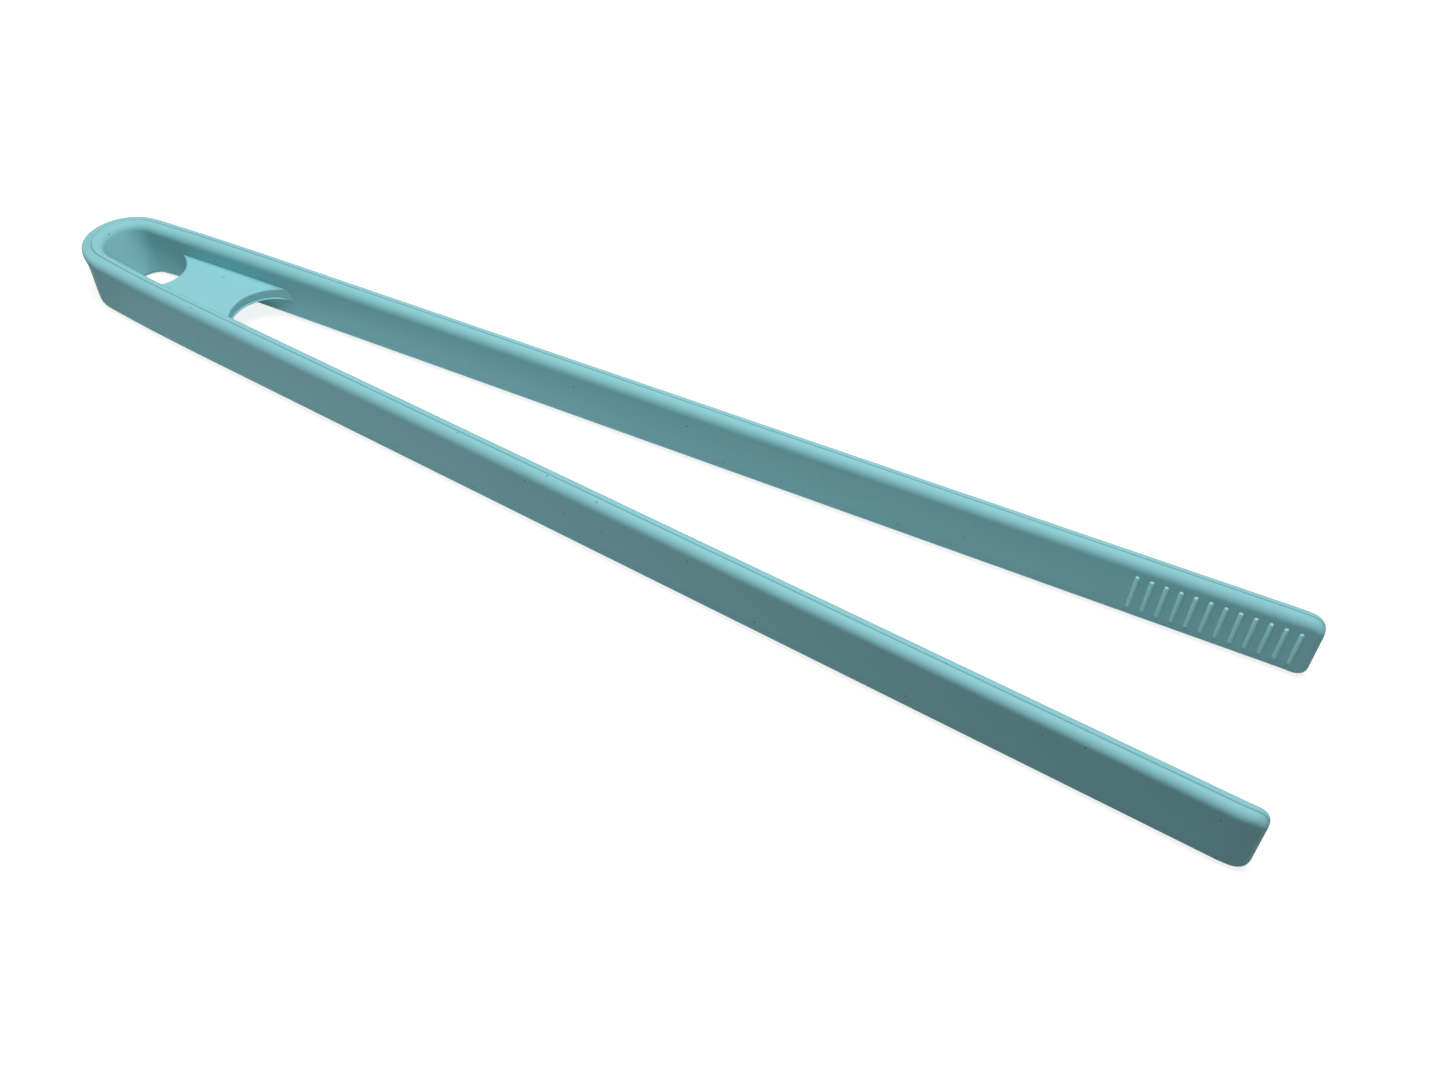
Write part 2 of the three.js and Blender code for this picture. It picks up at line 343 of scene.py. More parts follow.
class Line:
    """The outer face of one half, from above, by distance along it from the back of the bow."""

    def __init__(self, shape):
        self.shape = shape
        r, exit_angle, arm = shape.bow_radius, shape.bow_exit_angle, shape.arm_angle
        self.arc = r * (math.pi / 2 - exit_angle)
        end = np.array((LENGTH - shape.wall_at_tip * math.sin(arm), shape.tip_half_width))
        run = end[0] - shape.straight_from
        self.straight = end - run * np.array((1, math.tan(arm)))
        leave = r * np.array((1 - math.sin(exit_angle), math.cos(exit_angle)))
        gap = self.straight - leave
        rise = gap[1] - gap[0] * math.tan(exit_angle)
        back = rise / (math.tan(arm) - math.tan(exit_angle))
        control = self.straight - back * np.array((1, math.tan(arm)))
        t = steps(0, 1, EASE_STEPS)[:, None]
        self.ease = (1 - t) ** 2 * leave + 2 * t * (1 - t) * control + t ** 2 * self.straight
        strides = np.linalg.norm(np.diff(self.ease, axis=0), axis=1)
        self.ease_at = self.arc + np.concatenate(((0,), np.cumsum(strides)))
        self.length = self.ease_at[-1] + run / math.cos(arm)

    def at_x(self, x):
        """Distance at which the straight run passes x, measured from the back."""
        return self.ease_at[-1] + (x - self.straight[0]) / math.cos(self.shape.arm_angle)

    def point(self, distance):
        """Place of the outer face, and the direction square to it, into the arm."""
        side = -1 if distance < 0 else 1
        d = abs(distance)
        if d <= self.arc:
            angle = d / self.shape.bow_radius
            place = self.shape.bow_radius * np.array((1 - math.cos(angle), math.sin(angle)))
            along = np.array((math.sin(angle), math.cos(angle)))
        elif d < self.ease_at[-1]:
            place = np.array([np.interp(d, self.ease_at, self.ease[:, i]) for i in (0, 1)])
            slopes = np.gradient(self.ease, axis=0)
            along = np.array([np.interp(d, self.ease_at, slopes[:, i]) for i in (0, 1)])
            along /= np.linalg.norm(along)
        else:
            along = np.array((math.cos(self.shape.arm_angle), math.sin(self.shape.arm_angle)))
            place = self.straight + (d - self.ease_at[-1]) * along
        return place * (1, side), np.array((along[1], -side * along[0]))

    def inner(self, distance, z=None):
        """Place of the inner face, at a height if the wall leans."""
        place, inward = self.point(distance)
        wall = wall_at(self.shape, place[0])
        lean = 0 if z is None else lean_at(self.shape, place[0], z, wall)
        return place + inward * wall + np.array((lean, 0))


def taper(shape, x, at_bow, at_tip):
    """A size that changes evenly from the bow to the tips."""
    t = (x - shape.bow_radius) / (LENGTH - shape.bow_radius)
    return at_bow + (at_tip - at_bow) * min(max(t, 0), 1)


def wall_at(shape, x):
    return taper(shape, x, shape.wall_at_bow, shape.wall_at_tip)


def back_share(shape, x):
    """1 at the back of the bow, and 0 where the arms are upright."""
    return max(1 - x / shape.bow_reach, 0) ** BACK_CURVE


def height_at(shape, x):
    return taper(shape, x, shape.height_at_bow, shape.height_at_tip)


def lean_at(shape, x, z, depth):
    """How far forward the bow's wall stands below its rim, at a depth from its outer face."""
    height = height_at(shape, x)
    below = min(max(height - z, 0), height)
    flare = shape.rim_flare * (1 - math.exp(-below / shape.rim_flare_depth))
    outer = flare + shape.outer_lean * (below / height) ** 2
    inner = shape.inner_lean * (below / height) ** shape.inner_lean_curve
    return (outer + (inner - outer) * depth / wall_at(shape, x)) * back_share(shape, x)


def drop_at(shape, x, z, depth):
    """How much lower the bow's rim is at a depth from its outer face."""
    share = z / height_at(shape, x) * (1 - depth / wall_at(shape, x)) ** 2
    return shape.rim_drop * share * back_share(shape, x)


def cut_back(from_end, radius):
    """How far a rounded corner has cut back a face, near the corner's end."""
    inside = max(radius - from_end, 0)
    return radius - math.sqrt(radius ** 2 - inside ** 2)


def cover_section(line, distance):
    """The cover's outer section: its depths, edges, rounded corners and parting line."""
    shape = line.shape
    x = line.point(distance)[0][0]
    from_tip = max(line.length - abs(distance), 0)
    corner = cut_back(from_tip, TIP_CORNER_RADIUS)
    face_edge = cut_back(from_tip, TIP_FACE_RADIUS)
    travel = max(TIP_NOSE_LENGTH - from_tip, 0)
    nose = TIP_NOSE_RADIUS - math.sqrt(TIP_NOSE_RADIUS ** 2 - travel ** 2)
    outer, inner = shape.outer_edge_radius, shape.inner_edge_radius
    rim = outer + (shape.rim_radius - outer) * back_share(shape, x)
    inner += (shape.rim_inner_radius - inner) * back_share(shape, x)
    across = min(max(distance / line.arc / PARTING_CROSSING, -1), 1)
    return {
        "near": nose + face_edge,
        "far": wall_at(shape, x) - face_edge,
        "low": corner,
        "high": height_at(shape, x) - corner,
        "radii": (rim, outer, inner),
        "groove": (shape.parting_width / 2, shape.parting_depth),
        "shift": -shape.parting_shift * across,
    }


def cavity_section(line, distance):
    """The hollow that holds the spring frame."""
    shape = line.shape
    x = line.point(distance)[0][0]
    wall = wall_at(shape, x)
    margin = (wall - taper(shape, x, CORE_WALL_AT_BOW, CORE_WALL_AT_TIP)) / 2 - FIT_GAP
    return {
        "near": margin,
        "far": wall - margin,
        "low": CORE_INSET - FIT_GAP,
        "high": height_at(shape, x) - CORE_INSET + FIT_GAP,
        "radii": (CAVITY_RADIUS,) * 3,
        "groove": (CAVITY_HALF_FLAT, 0),
        "shift": 0,
    }


def profile(near, far, low, high, radii, groove, shift):
    """Points of a rounded rectangle as (depth, height), from its inner upper corner.

    The radii are those of the rim, of the outer and of the inner corners. A fine groove runs
    along the top and the bottom, and its shift is from the middle.
    """
    half, depth = groove
    fit = min((far - near - 2 * half) / sum(radii[1:]), (high - low) / 2 / max(radii), 1)
    rim, outer, inner = (radius * fit for radius in radii)
    middle = min(max((near + far) / 2 + shift, near + outer + half), far - inner - half)

    def corner(centre, r, quarter):
        angles = (quarter + steps(0, 1, CORNER_STEPS)) * math.pi / 2
        return [(centre[0] + r * math.cos(a), centre[1] + r * math.sin(a)) for a in angles]

    top = [(middle + half, high), (middle, high - depth), (middle - half, high)]
    bottom = [(middle - half, low), (middle, low + depth), (middle + half, low)]
    wall = [(near, z) for z in steps(high - rim, low + outer, WALL_POINTS + 1)[1:-1]]
    return [
        *corner((far - inner, high - inner), inner, 0), *top,
        *corner((near + rim, high - rim), rim, 1), *wall,
        *corner((near + outer, low + outer), outer, 2), *bottom,
        *corner((far - inner, low + inner), inner, 3),
    ]


class Skin:
    """Collects points and the faces between them, and becomes one object."""

    def __init__(self):
        self.points = []
        self.faces = []
        self.reliefs = []

    def row(self, points):
        """Adds points in the tongs' own plan, with X from the back, and returns their numbers."""
        start = len(self.points)
        self.points.extend((p[0] - ORIGIN, p[1], p[2]) for p in points)
        self.reliefs.extend(0.0 for p in points)
        return range(start, len(self.points))

    def ring(self, line, distance, section, window=()):
        """A section of the wall. The window is points on its inner face, and comes last."""
        place, inward = line.point(distance)
        points = []
        for depth, z in profile(**section):
            x, y = place + inward * depth
            lean = lean_at(line.shape, place[0], z, depth)
            points.append((x + lean, y, z - drop_at(line.shape, place[0], z, depth)))
        # The groove bottoms are marked for the shade painted along the parting lines.
        row = self.row([*points, *window])
        for groove in GROOVE_POINTS:
            self.reliefs[row[groove]] = -1.0
        return row

    def bridge(self, a, b, closed=True, skip=None):
        """Faces between two rows of as many points."""
        for i in range(len(a) if closed else len(a) - 1):
            if i != skip:
                j = (i + 1) % len(a)
                self.faces.append((a[i], a[j], b[j], b[i]))

    def bridge_all(self, rows, closed=True):
        for a, b in zip(rows, rows[1:]):
            self.bridge(a, b, closed)

    def cap(self, ring):
        self.faces.append(tuple(ring))

    def to_object(self, name):
        mesh = bpy.data.meshes.new(name)
        mesh.from_pydata(self.points, [], self.faces)
        relief = mesh.attributes.new(RELIEF, "FLOAT", "POINT")
        relief.data.foreach_set("value", self.reliefs)
        made = bpy.data.objects.new(name, mesh)
        bpy.context.scene.collection.objects.link(made)
        clean(mesh)
        smooth(mesh)
        return made


def clean(mesh):
    """Joins points that coincide, drops edges with no length and turns faces outwards."""
    work = bmesh.new()
    work.from_mesh(mesh)
    bmesh.ops.remove_doubles(work, verts=work.verts, dist=SAME_PLACE)
    bmesh.ops.dissolve_degenerate(work, edges=work.edges, dist=NO_LENGTH)
    bmesh.ops.recalc_face_normals(work, faces=work.faces)
    work.to_mesh(mesh)
    work.free()


def smooth(mesh):
    mesh.shade_smooth()
    mesh.set_sharp_from_angle(angle=SHARP_EDGE)


def keep_rest_position(mesh):
    """Stores where each point is at rest, so that a finish stays put when an arm bends."""
    stored = mesh.attributes.new(REST_POSITION, "FLOAT_VECTOR", "POINT")
    places = np.empty(len(mesh.vertices) * 3, np.float32)
    mesh.vertices.foreach_get("co", places)
    stored.data.foreach_set("vector", places)


# ---- Bow and web ---------------------------------------------------------------------------


class WebFace:
    """One flat face of the web, between its two concave edges."""

    def __init__(self, line, z, back, front, edge_inset):
        self.line = line
        self.z = z
        self.back = (back[0], back[1] + edge_inset)
        self.front = (front[0], front[1] + edge_inset)
        self.start = self.meets_wall(self.back, line.arc, line.at_x(back[0] + back[1]))
        self.end = self.meets_wall(self.front, line.at_x(front[0]), self.start)

    def meets_wall(self, circle, inside, outside):
        """Distance at which an edge's circle leaves the gap between the arms, by halving."""
        for _ in range(HALVINGS):
            middle = (inside + outside) / 2
            x, y = self.line.inner(middle, self.z)
            if math.hypot(x - circle[0], y) < circle[1]:
                inside = middle
            else:
                outside = middle
        return (inside + outside) / 2

    def edge(self, front, across, offset=0.0):
        """A point of a concave edge, moved into the plate by an offset."""
        circle, station, facing = (
            (self.front, self.end, -1) if front else (self.back, self.start, 1)
        )
        y = across * self.line.inner(station, self.z)[1]
        x = facing * math.sqrt(circle[1] ** 2 - y ** 2)
        grow = (circle[1] + offset) / circle[1]
        return np.array((circle[0] + x * grow, y * grow))

    def point(self, share, across, offset):
        """A point of the face, part of the way from the back edge to the front one."""
        station = self.start + share * (self.end - self.start)
        place = self.line.inner(station, self.z) * (1, across)
        for front, weight in ((False, 1 - share), (True, share)):
            end = self.line.inner(self.end if front else self.start, self.z) * (1, across)
            place = place + weight * (self.edge(front, across, offset) - end)
        return (*place, self.z)


class Web:
    """The plate between the arms: two flat faces between two concave edges."""

    def __init__(self, line, thickness, edge_inset, edge_round):
        self.line = line
        self.edge_round = edge_round
        self.upper, self.lower = (
            WebFace(line, WEB_MIDDLE_HEIGHT + lift * thickness / 2, back, front, edge_inset)
            for lift, back, front in zip((1, -1), WEB_BACK, WEB_FRONT)
        )
        self.start, self.end = self.upper.start, self.upper.end
        self.across = np.cos(steps(0, math.pi, WEB_COLUMNS))

    def round_at(self, across):
        """Rounding of the concave edges, which dies away at the arms."""
        t = min((1 - abs(across)) / WEB_ROUND_FADE, 1)
        return self.edge_round * t * t * (3 - 2 * t)

    def face_rows(self, skin, face):
        return [
            skin.row([face.point(share, v, self.round_at(v)) for v in self.across])
            for share in steps(0, 1, WEB_STEPS)
        ]

    def edge_rows(self, skin, front):
        """A rounded concave edge, as rows from the upper face to the lower one.

        Heights and insets are in roundings. A thin lip runs along the foot of the front edge.
        """
        turn = steps(0, math.pi / 2, EDGE_STEPS)
        lip = LIP_OUT if front else 0
        path = [(self.upper, math.cos(a) - 1, 1 - math.sin(a)) for a in turn]
        if front:
            path += [(self.lower, LIP_START, 0), (self.lower, LIP_FULL, -lip)]
        path += [(self.lower, 1 - math.cos(a), 1 - math.sin(a) - lip) for a in turn[::-1]]
        path += [(self.lower, 0, 1)]
        rows = []
        for face, rise, inset in path:
            points = []
            for v in self.across:
                r = self.round_at(v)
                points.append((*face.edge(front, v, r * inset), face.z + r * rise))
            rows.append(skin.row(points))
        return rows

    def add_to(self, skin):
        for face in (self.lower, self.upper):
            skin.bridge_all(self.face_rows(skin, face), closed=False)
        for front in (False, True):
            skin.bridge_all(self.edge_rows(skin, front), closed=False)

    def window(self, distance, seam, far):
        """Points of the arm's inner face at the web's lower and upper faces.

        The lower face starts and ends further on than the upper one. Away from the web the
        points lie at the section's far depth.
        """
        side = -1 if distance < 0 else 1
        x = self.line.point(distance)[0][0]
        beside = self.start <= abs(distance) <= self.end
        back = 0 if beside else wall_at(self.line.shape, x) - far
        low = np.interp(
            abs(distance),
            (self.line.arc, self.start, self.end, seam),
            (self.line.arc, self.lower.start, self.lower.end, seam),
        ) if abs(distance) > self.line.arc else abs(distance)
        points = []
        for station, face in ((low, self.lower), (abs(distance), self.upper)):
            place = self.line.inner(station, face.z) - back * self.line.point(station)[1]
            points.append((place[0], side * place[1], face.z))
        return points


def bow_shell(skin, line, section_at, web):
    """A closed band round the bow with the web let into its inner face. Returns its two ends."""
    seam = line.at_x(BOW_SEAM)
    half = np.concatenate((
        steps(0, line.arc, BOW_STEPS)[:-1],
        steps(line.arc, web.start, BOW_TO_WEB_STEPS)[:-1],
        steps(web.start, web.end, WEB_STEPS),
        steps(web.end, seam, WEB_TO_SEAM_STEPS)[1:],
    ))
    distances = np.concatenate((-half[:0:-1], half))
    rings = []
    for distance in distances:
        section = section_at(line, distance)
        window = web.window(distance, seam, section["far"])
        rings.append(skin.ring(line, distance, section, window))
    for k in range(len(rings) - 1):
        middle = abs(distances[k] + distances[k + 1]) / 2
        opening = len(rings[k]) - 2 if web.start < middle < web.end else None
        skin.bridge(rings[k], rings[k + 1], skip=opening)
    web.add_to(skin)
    return rings[0], rings[-1]


def make_bow_cover(shape):
    line = Line(shape)
    skin = Skin()
    outside = bow_shell(skin, line, cover_section, Web(line, WEB_THICKNESS, 0, WEB_EDGE_ROUND))
    core_web = Web(line, WEB_CORE_THICKNESS + 2 * FIT_GAP, WEB_EDGE_COVER - FIT_GAP, 0)
    inside = bow_shell(skin, line, cavity_section, core_web)
    for outer_end, inner_end in zip(outside, inside):
        skin.bridge(outer_end, inner_end)
    return skin.to_object("bow_silicone")


# ---- Arms ----------------------------------------------------------------------------------


def arm_distances(line):
    """Stations from the seam to the tip, closer where the arm bends and at the rounded tip."""
    bend_end = line.at_x(ORIGIN + FLEXURE.x + BEND_HALF + BEND_MARGIN)
    nose = line.length - TIP_NOSE_LENGTH
    turn = steps(0, math.pi / 2, TIP_STEPS)
    corner = line.length - TIP_CORNER_RADIUS * (1 - np.sin(turn))
    face = line.length - TIP_FACE_RADIUS * (1 - np.sin(turn))
    return np.unique(np.round(np.concatenate((
        steps(line.at_x(BOW_SEAM), bend_end, BEND_STEPS),
        steps(bend_end, nose, ARM_STEPS),
        steps(nose, line.length - TIP_CORNER_RADIUS, NOSE_STEPS),
        corner,
        face,
    )), STATION_DIGITS))


def make_ribs(shape, line, side):
    """All the grip ribs of one arm, as round-ended bars half sunk in its inner face."""
    skin = Skin()
    turns = steps(0, 2 * math.pi, RIB_SIDES)[:-1]
    lifts = steps(-math.pi / 2, math.pi / 2, RIB_STEPS)[1:-1]
    for index in range(shape.rib_count):
        distance = line.length - shape.last_rib_setback - index * shape.rib_pitch
        x, y = line.inner(side * distance)
        z = height_at(shape, x) / 2
        rings = []
        for lift in lifts:
            r = shape.rib_radius * math.cos(lift)
            end = math.copysign(shape.rib_length / 2, lift) if abs(lift) > LEVEL else 0
            height = z + end + shape.rib_radius * math.sin(lift)
            rings.append(skin.row([
                (x + r * math.cos(a), y + r * math.sin(a), height) for a in turns
            ]))
        skin.bridge_all(rings)
        skin.cap(rings[0])
        skin.cap(rings[-1])
    return skin.to_object("grip_ribs")


def join_solids(base, tool):
    """Unites two solids and drops the second one's object."""
    union = base.modifiers.new("ribs", "BOOLEAN")
    union.operation = "UNION"
    union.solver = "EXACT"
    union.object = tool
    bpy.context.view_layer.update()
    shown = base.evaluated_get(bpy.context.evaluated_depsgraph_get())
    mesh = bpy.data.meshes.new_from_object(shown)
    base.modifiers.clear()
    base.data = mesh
    bpy.data.objects.remove(tool)


def mark_ribs(mesh, line):
    """Notes which points of an arm's cover stand proud of the wall's inner face."""
    half = np.linspace(line.length / 2, line.length, WALL_SAMPLES)
    wall = np.array([line.inner(distance) for distance in half])
    relief = mesh.attributes[RELIEF]
    for point, stored in zip(mesh.vertices, relief.data):
        place = point.co.x + ORIGIN
        proud = np.interp(place, wall[:, 0], wall[:, 1]) - abs(point.co.y)
        if place > wall[0, 0] and proud > RIB_LEAST_HEIGHT:
            stored.value = 1.0


def make_arm_cover(shape, name, side):
    line = Line(shape)
    skin = Skin()
    outer = [skin.ring(line, side * d, cover_section(line, d)) for d in arm_distances(line)]
    skin.bridge_all(outer)
    skin.cap(outer[-1])
    hollow_end = line.length - CORE_END_SETBACK + FIT_GAP
    hollow = steps(line.at_x(BOW_SEAM), hollow_end, HOLLOW_STEPS)
    inner = [skin.ring(line, side * d, cavity_section(line, d)) for d in hollow]
    skin.bridge_all(inner)
    skin.cap(inner[-1])
    skin.bridge(outer[0], inner[0])
    cover = skin.to_object(name)
    join_solids(cover, make_ribs(shape, line, side))
    mark_ribs(cover.data, line)
    smooth(cover.data)
    return cover


# ---- Shader maths --------------------------------------------------------------------------


class Wire:
    """A socket that adds, takes away and multiplies like a number."""

    def __init__(self, finish, socket):
        self.finish = finish
        self.socket = socket

    def __add__(self, other):
        return self.finish.maths("ADD", self, other)

    def __radd__(self, other):
        return self.finish.maths("ADD", other, self)

    def __sub__(self, other):
        return self.finish.maths("SUBTRACT", self, other)

    def __rsub__(self, other):
        return self.finish.maths("SUBTRACT", other, self)

    def __mul__(self, other):
        return self.finish.maths("MULTIPLY", self, other)

    def __rmul__(self, other):
        return self.finish.maths("MULTIPLY", other, self)


class Nodes:
    """The nodes of a material or of the world."""

    def __init__(self, owner):
        owner.use_nodes = True
        self.owner = owner
        self.tree = owner.node_tree
        self.tree.nodes.clear()

    def node(self, kind, settings=None, inputs=None, output=0):
        """Adds a node: its settings first, then the values or links of its sockets."""
        made = self.tree.nodes.new(kind)
        for key, value in (settings or {}).items():
            setattr(made, key, value)
        for key, value in (inputs or {}).items():
            if isinstance(value, Wire):
                self.tree.links.new(value.socket, made.inputs[key])
            else:
                made.inputs[key].default_value = value
        return Wire(self, made.outputs[output]) if made.outputs else None

    def maths(self, operation, a, b):
        return self.node("ShaderNodeMath", {"operation": operation}, {0: a, 1: b})

    def vector(self, operation, a, b=(0, 0, 0), output="Vector"):
        settings = {"operation": operation}
        return self.node("ShaderNodeVectorMath", settings, {0: a, 1: b}, output)

    def mix(self, share, a, b):
        """Two colours, mixed. Inputs 6 and 7 and output 2 are the node's colour sockets."""
        return self.node("ShaderNodeMix", {"data_type": "RGBA"}, {0: share, 6: a, 7: b}, 2)

    def mix_shaders(self, share, a, b):
        return self.node("ShaderNodeMixShader", None, {0: share, 1: a, 2: b})

    def ramp(self, value, low, high):
        """0 below low, 1 above high, and smooth between."""
        settings = {"interpolation_type": "SMOOTHSTEP"}
        inputs = {"Value": value, "From Min": low, "From Max": high}
        return self.node("ShaderNodeMapRange", settings, inputs)

    def noise(self, place, size, detail=2.0):
        """Soft noise with features of a real size."""
        inputs = {"Vector": place, "Scale": 1 / size, "Detail": detail}
        return self.node("ShaderNodeTexNoise", None, inputs)

    def bump(self, height, distance, strength):
        inputs = {"Strength": strength, "Distance": distance, "Height": height}
        return self.node("ShaderNodeBump", None, inputs)

    def looking(self):
        """1 for rays that look at a surface, straight or in a reflection; 0 for the others."""
        path = "ShaderNodeLightPath"
        straight = self.node(path, None, None, "Is Camera Ray")
        mirrored = self.node(path, None, None, "Is Glossy Ray")
        through = self.node(path, None, None, "Is Transmission Ray")
        return straight + mirrored + through

    def surface(self, shader, kind="Material"):
        self.node(f"ShaderNodeOutput{kind}", None, {"Surface": shader})
        return self.owner


# ---- Materials -----------------------------------------------------------------------------

SILICONE = "satin_silicone"
SILICONE_IOR = 1.41
CLOUD_SIZE, CLOUD_SHADES = 30 * MM, (0.975, 1.025)
GRAIN_SIZE, GRAIN_HEIGHT, GRAIN_STRENGTH = 0.35 * MM, 0.02 * MM, 0.25
SMUDGE_SIZE, SMUDGE_RANGE = 11 * MM, (0.45, 0.75)
FLECK_SPACING, FLECK_SHADE, FLECK_SHARE = 5 * MM, 0.25, 0.6
FLECK_RANGE = (0.02, 0.07)        # from a fleck's heart to its edge, in shares of the spacing
RIB_RANGE = (0.1, 0.7)            # of the relief, over which a rib's colour comes in
# Painted shade along the grooves of the parting lines: where it comes in, its level and its
# share.
PAINTED_GROOVE_RANGE, PAINTED_GROOVE_SHADE, PAINTED_GROOVE_SHARE = (0, 0.8), 0.3, 0.6
ROUGHER_CLOUDS, ROUGHER_SMUDGES = 0.05, 0.05

FIBRE_SIZE, FIBRE_SHADES = 0.6 * MM, (0.9, 1.05)
FIBRE_STRETCH = (0.3, 1, 1)       # below 1 they are longer along that axis
FIBRE_HEIGHT, FIBRE_STRENGTH = 0.03 * MM, 0.3
NYLON_ROUGHNESS, ROUGHER_FIBRES = 0.5, 0.15


def rgba(colour, level=1.0):
    return (*(min(c * level, 1) for c in colour), 1)


def silicone(settings):
    """Satin silicone: faint clouding, a fine matt texture, smudges and a few flecks."""
    finish = Nodes(bpy.data.materials.new(SILICONE))
    stored = "ShaderNodeAttribute"
    place = finish.node(stored, {"attribute_name": REST_POSITION}, None, "Vector")
    relief = finish.node(stored, {"attribute_name": RELIEF}, None, "Fac")
    clouds = finish.noise(place, CLOUD_SIZE)
    grain = finish.noise(place, GRAIN_SIZE, detail=1.0)
    smudges = finish.ramp(finish.noise(place, SMUDGE_SIZE, detail=4.0), *SMUDGE_RANGE)
    from_fleck = finish.node(
        "ShaderNodeTexVoronoi", {"feature": "F1"},
        {"Vector": place, "Scale": 1 / FLECK_SPACING}, "Distance",
    )
    flecks = FLECK_SHARE * (1 - finish.ramp(from_fleck, *FLECK_RANGE))
    ribs = finish.ramp(relief, *RIB_RANGE)
    # Painted shade along the grooves of the parting lines.
    parting = PAINTED_GROOVE_SHARE * finish.ramp(0 - relief, *PAINTED_GROOVE_RANGE)
    base = settings.cover_colour
    colour = finish.mix(clouds, *(rgba(base, shade) for shade in CLOUD_SHADES))
    colour = finish.mix(flecks, colour, rgba(base, FLECK_SHADE))
    # The ribs are painted paler than the cover.
    colour = finish.mix(ribs, colour, rgba(settings.rib_colour))
    # Mixes in the shade painted along the parting lines.
    colour = finish.mix(parting, colour, rgba(base, PAINTED_GROOVE_SHADE))
    roughness = settings.cover_roughness + ROUGHER_CLOUDS * (clouds - 0.5)
    shader = finish.node("ShaderNodeBsdfPrincipled", None, {
        "Base Color": colour,
        "Roughness": roughness + ROUGHER_SMUDGES * smudges,
        "IOR": SILICONE_IOR,
        "Specular IOR Level": settings.cover_shine,
        "Sheen Weight": settings.cover_bloom,
        "Normal": finish.bump(grain, GRAIN_HEIGHT, GRAIN_STRENGTH),
    })
    return finish.surface(shader)


def nylon(settings):
    """Glass-filled nylon: off-white, with a faint mottle of fibres."""
    finish = Nodes(bpy.data.materials.new("glass_filled_nylon"))
    place = finish.node("ShaderNodeTexCoord", None, None, "Object")
    along = finish.vector("MULTIPLY", place, FIBRE_STRETCH)
    fibres = finish.noise(along, FIBRE_SIZE, detail=3.0)
    colours = (rgba(settings.core_colour, shade) for shade in FIBRE_SHADES)
    shader = finish.node("ShaderNodeBsdfPrincipled", None, {
        "Base Color": finish.mix(fibres, *colours),
        "Roughness": NYLON_ROUGHNESS + ROUGHER_FIBRES * fibres,
        "Normal": finish.bump(fibres, FIBRE_HEIGHT, FIBRE_STRENGTH),
    })
    return finish.surface(shader)


# ---- Studio --------------------------------------------------------------------------------

FLOOR_HALF = 3.0
FLOOR_DROP = 0.1 * MM             # below the tongs, so that no two faces coincide
FLOOR_SLOPE = 0.06                # of the near arm's outer face, from above
# The light that the floor sends back: its grey; its grey in front of the near arm, darker as a
# painted shadow; the share by which it is darker at the tips, both under the tongs and in front
# of them, as a painted falloff of light; and how much darker it is behind the bow, as painted
# shade.
FLOOR_GREY, PAINTED_FALLOFF_UNDER = 0.73, 0.3
FRONT_SHADOW_GREY, PAINTED_FALLOFF_FRONT = 0.6, 0.55
PAINTED_SHADE_BEHIND = 0.7
FRONT_EDGE = (-30 * MM, -15 * MM)         # across the near arm
TIPS_RANGE = (-100 * MM, 170 * MM)        # towards the tips
BACK_EDGE = (-155 * MM, -125 * MM)        # behind the bow
# The floor as seen: its own glow, the distance over which that grows to white, and the grey
# that shows the tongs' shadow.
FLOOR_GLOW, GLOW_RANGE = 0.85, (0.3, 1.2)
SHADOW_GREY = 0.3

SENSOR_WIDTH = 36                 # millimetres
NEAREST = 10 * MM


def backdrop():
    """White as seen, with a soft shadow.

    The light that it sends back is that of a grey with painted light and shade on it: a painted
    shadow in front of the tongs, and painted falloffs of light towards their tips and behind the
    bow.
    """
    finish = Nodes(bpy.data.materials.new("backdrop"))
    place = finish.node("ShaderNodeTexCoord", None, None, "Object")
    x = finish.node("ShaderNodeSeparateXYZ", None, {"Vector": place}, "X")
    y = finish.node("ShaderNodeSeparateXYZ", None, {"Vector": place}, "Y")
    # Painted shadow in front of the near arm, and a painted falloff of light towards the tips.
    painted_shadow_in_front = 1 - finish.ramp(y + FLOOR_SLOPE * x, *FRONT_EDGE)
    painted_falloff_to_tips = finish.ramp(x, *TIPS_RANGE)
    # Painted shade behind the bow.
    behind = 1 - finish.ramp(x, *BACK_EDGE)
    front = FRONT_SHADOW_GREY * (1 - PAINTED_FALLOFF_FRONT * painted_falloff_to_tips)
    under = FLOOR_GREY * (1 - PAINTED_FALLOFF_UNDER * painted_falloff_to_tips)
    grey = (under + painted_shadow_in_front * (front - under)) * (1 - PAINTED_SHADE_BEHIND * behind)
    far_off = finish.ramp(finish.vector("LENGTH", place, output="Value"), *GLOW_RANGE)

    def plain(kind, level):
        return finish.node(f"ShaderNode{kind}", None, {"Color": rgba((level,) * 3)})

    sent = finish.mix_shaders(grey, plain("BsdfDiffuse", 0), plain("BsdfDiffuse", 1))
    glow = finish.mix_shaders(far_off, plain("Emission", FLOOR_GLOW), plain("Emission", 1))
    seen = finish.node(
        "ShaderNodeAddShader", None, {0: plain("BsdfDiffuse", SHADOW_GREY), 1: glow}
    )
    return finish.surface(finish.mix_shaders(finish.looking(), sent, seen))


def make_floor():
    mesh = bpy.data.meshes.new("floor")
    corners = [
        (x * FLOOR_HALF, y * FLOOR_HALF, -FLOOR_DROP)
        for x, y in ((-1, -1), (1, -1), (1, 1), (-1, 1))
    ]
    mesh.from_pydata(corners, [], [(0, 1, 2, 3)])
    mesh.materials.append(backdrop())
    floor = bpy.data.objects.new("floor", mesh)
    bpy.context.scene.collection.objects.link(floor)


